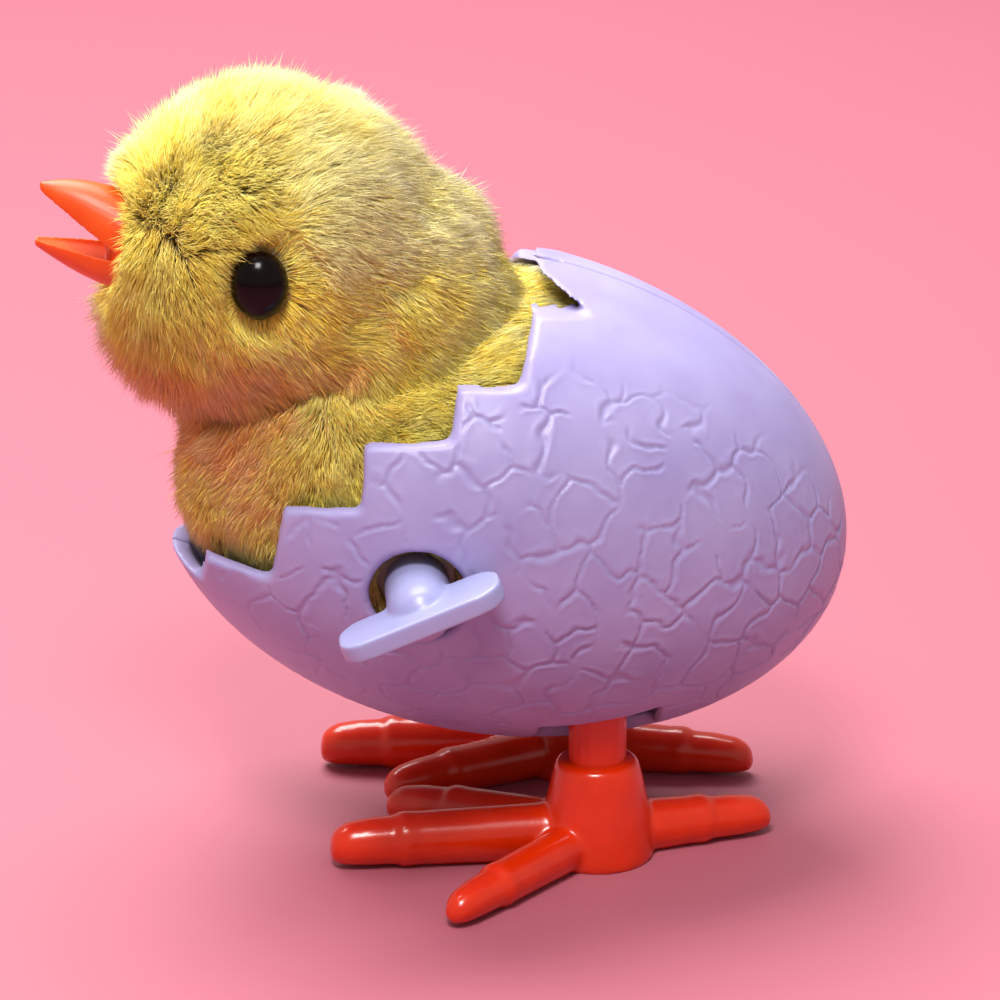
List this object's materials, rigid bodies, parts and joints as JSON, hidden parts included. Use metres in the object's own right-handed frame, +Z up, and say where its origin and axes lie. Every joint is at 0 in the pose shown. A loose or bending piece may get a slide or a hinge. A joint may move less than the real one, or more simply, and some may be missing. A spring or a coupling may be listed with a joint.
{
  "type": "wind-up hopping chick",
  "caption": "Plush chick in a cracked plastic egg shell, with a side winding key and two clawed feet that kick to make it hop.",
  "frame": {"origin": "the centre of the overall box's base, on the ground under the feet", "axes": "+X towards the egg's round rear end, the chick faces -X, +Y towards its right side, the winding key is on the -Y side, +Z up"},
  "size_m": [0.0724, 0.0546, 0.0693],
  "materials": {
    "shell_plastic": "lavender, satin",
    "plush": "short yellow pile, shaded orange at the chin and chest",
    "core_plastic": "milky, matt",
    "orange_plastic": "orange, glossy",
    "black_plastic": "black, polished",
    "case_plastic": "light grey, matt",
    "steel": "bright steel",
    "spring_steel": "blued spring steel",
    "amber_plastic": "amber, satin",
    "white_plastic": "natural white, satin"
  },
  "bodies": {
    "chick": {"egg_shell_left": "shell_plastic", "egg_shell_right": "shell_plastic", "plush_cover": "plush", "body_core_left": "core_plastic", "body_core_right": "core_plastic", "beak": "orange_plastic", "eye_left": "black_plastic", "eye_right": "black_plastic", "motor_case_left": "case_plastic", "motor_case_right": "case_plastic", "middle_plate": "steel", "case_screw_1": "steel", "case_screw_2": "steel", "case_screw_3": "steel", "idler_pin": "steel", "mainspring": "spring_steel"},
    "winder": {"winding_key": "shell_plastic", "winding_shaft": "steel", "main_gear": "amber_plastic"},
    "idler": {"idler_gear": "white_plastic"},
    "crank": {"crank_shaft": "steel", "crank_pinion": "white_plastic", "crank_left": "white_plastic", "crank_right": "white_plastic"},
    "legs": {"leg_axle": "steel", "leg_left": "orange_plastic", "leg_right": "orange_plastic", "foot_left": "orange_plastic", "foot_right": "orange_plastic"}
  },
  "joints": [
    {"name": "winding", "type": "hinge", "parent": "chick", "child": "winder", "pos_m": [-0.00362, 0.00111, 0.0292], "axis": [0, 1, 0], "continuous": true},
    {"name": "idler_spin", "type": "hinge", "parent": "chick", "child": "idler", "pos_m": [0.00495, 0.00111, 0.02987], "axis": [0, 1, 0], "continuous": true},
    {"name": "crank_turn", "type": "hinge", "parent": "chick", "child": "crank", "pos_m": [0.01288, 0.00111, 0.0292], "axis": [0, 1, 0], "continuous": true},
    {"name": "leg_kick", "type": "hinge", "parent": "chick", "child": "legs", "pos_m": [0.01288, 0.00111, 0.0194], "axis": [0, 1, 0], "range_deg": [-7, 7]}
  ],
  "couplings": [
    {"joint": "idler_spin", "follows": "winding", "ratio": -3},
    {"joint": "crank_turn", "follows": "winding", "ratio": 8.1}
  ]
}
